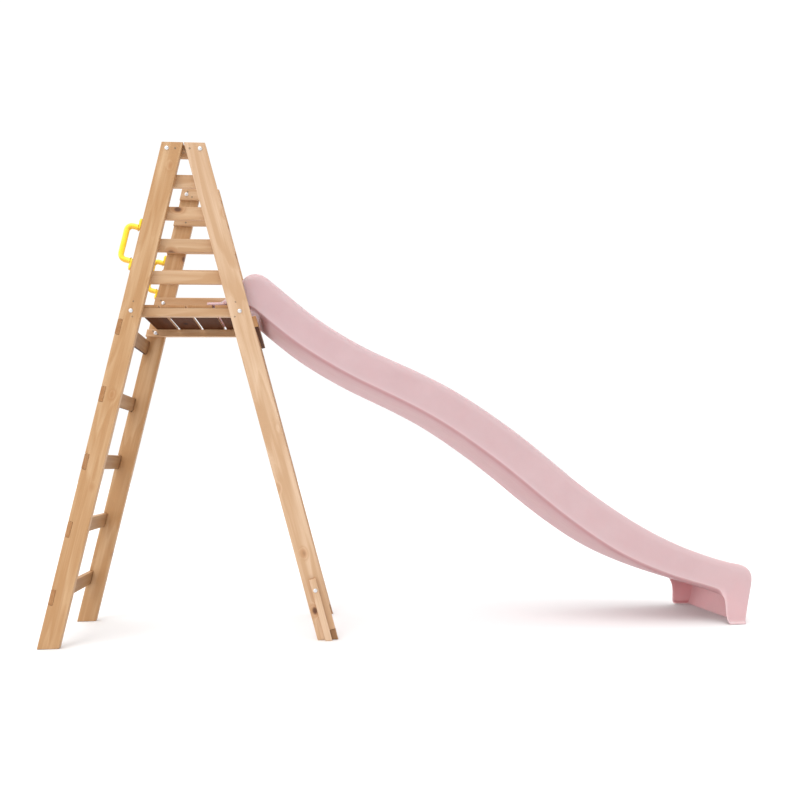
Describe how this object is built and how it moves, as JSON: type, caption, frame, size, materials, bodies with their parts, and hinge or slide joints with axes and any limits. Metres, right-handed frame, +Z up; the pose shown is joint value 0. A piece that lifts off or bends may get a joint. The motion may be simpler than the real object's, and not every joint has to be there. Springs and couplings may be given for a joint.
{
  "type": "wave slide with timber A-frame ladder tower",
  "caption": "Free-standing garden wave slide: a timber A-frame tower with a plank ladder, guard rails and a slatted deck, and a moulded pink plastic slide",
  "frame": {"origin": "on the ground, under the middle of the overall box", "axes": "+Z up, +X from the ladder towards the exit of the slide, +Y across, away from the near side"},
  "size_m": [3.283, 0.6272, 2.21],
  "materials": {
    "frame_timber": "planed softwood, clear satin coat",
    "anchor_timber": "darker treated softwood",
    "slide_plastic": "smooth moulded polyethylene, satin",
    "handle_plastic": "smooth moulded plastic, glossy",
    "galvanised_steel": "zinc plated"
  },
  "bodies": {
    "root": {"deck_slat_1": "frame_timber", "deck_slat_2": "frame_timber", "deck_slat_3": "frame_timber", "deck_slat_4": "frame_timber", "far_anchor_block": "anchor_timber", "far_anchor_bolt": "galvanised_steel", "far_anchor_strip": "frame_timber", "far_apex_bolt_ladder": "galvanised_steel", "far_apex_bolt_slide": "galvanised_steel", "far_apex_cleat": "frame_timber", "far_deck_bearer": "frame_timber", "far_deck_bolt_ladder": "galvanised_steel", "far_deck_bolt_slide": "galvanised_steel", "far_grab_handle": "handle_plastic", "far_handle_screw_bottom": "galvanised_steel", "far_handle_screw_top": "galvanised_steel", "far_ladder_leg": "frame_timber", "far_rail_1": "frame_timber", "far_rail_2": "frame_timber", "far_rail_3": "frame_timber", "far_rail_4": "frame_timber", "far_rail_coach_screw": "galvanised_steel", "far_slide_leg": "frame_timber", "far_slide_screw": "galvanised_steel", "front_cross_board": "frame_timber", "ladder_rung_1": "frame_timber", "ladder_rung_2": "frame_timber", "ladder_rung_3": "frame_timber", "ladder_rung_4": "frame_timber", "ladder_rung_5": "frame_timber", "near_anchor_block": "anchor_timber", "near_anchor_bolt": "galvanised_steel", "near_anchor_strip": "frame_timber", "near_apex_bolt_ladder": "galvanised_steel", "near_apex_bolt_slide": "galvanised_steel", "near_apex_cleat": "frame_timber", "near_deck_bearer": "frame_timber", "near_deck_bolt_ladder": "galvanised_steel", "near_deck_bolt_slide": "galvanised_steel", "near_grab_handle": "handle_plastic", "near_handle_screw_bottom": "galvanised_steel", "near_handle_screw_top": "galvanised_steel", "near_ladder_leg": "frame_timber", "near_rail_1": "frame_timber", "near_rail_2": "frame_timber", "near_rail_3": "frame_timber", "near_rail_4": "frame_timber", "near_rail_coach_screw": "galvanised_steel", "near_slide_leg": "frame_timber", "near_slide_screw": "galvanised_steel", "wave_slide": "slide_plastic"}
  },
  "joints": []
}
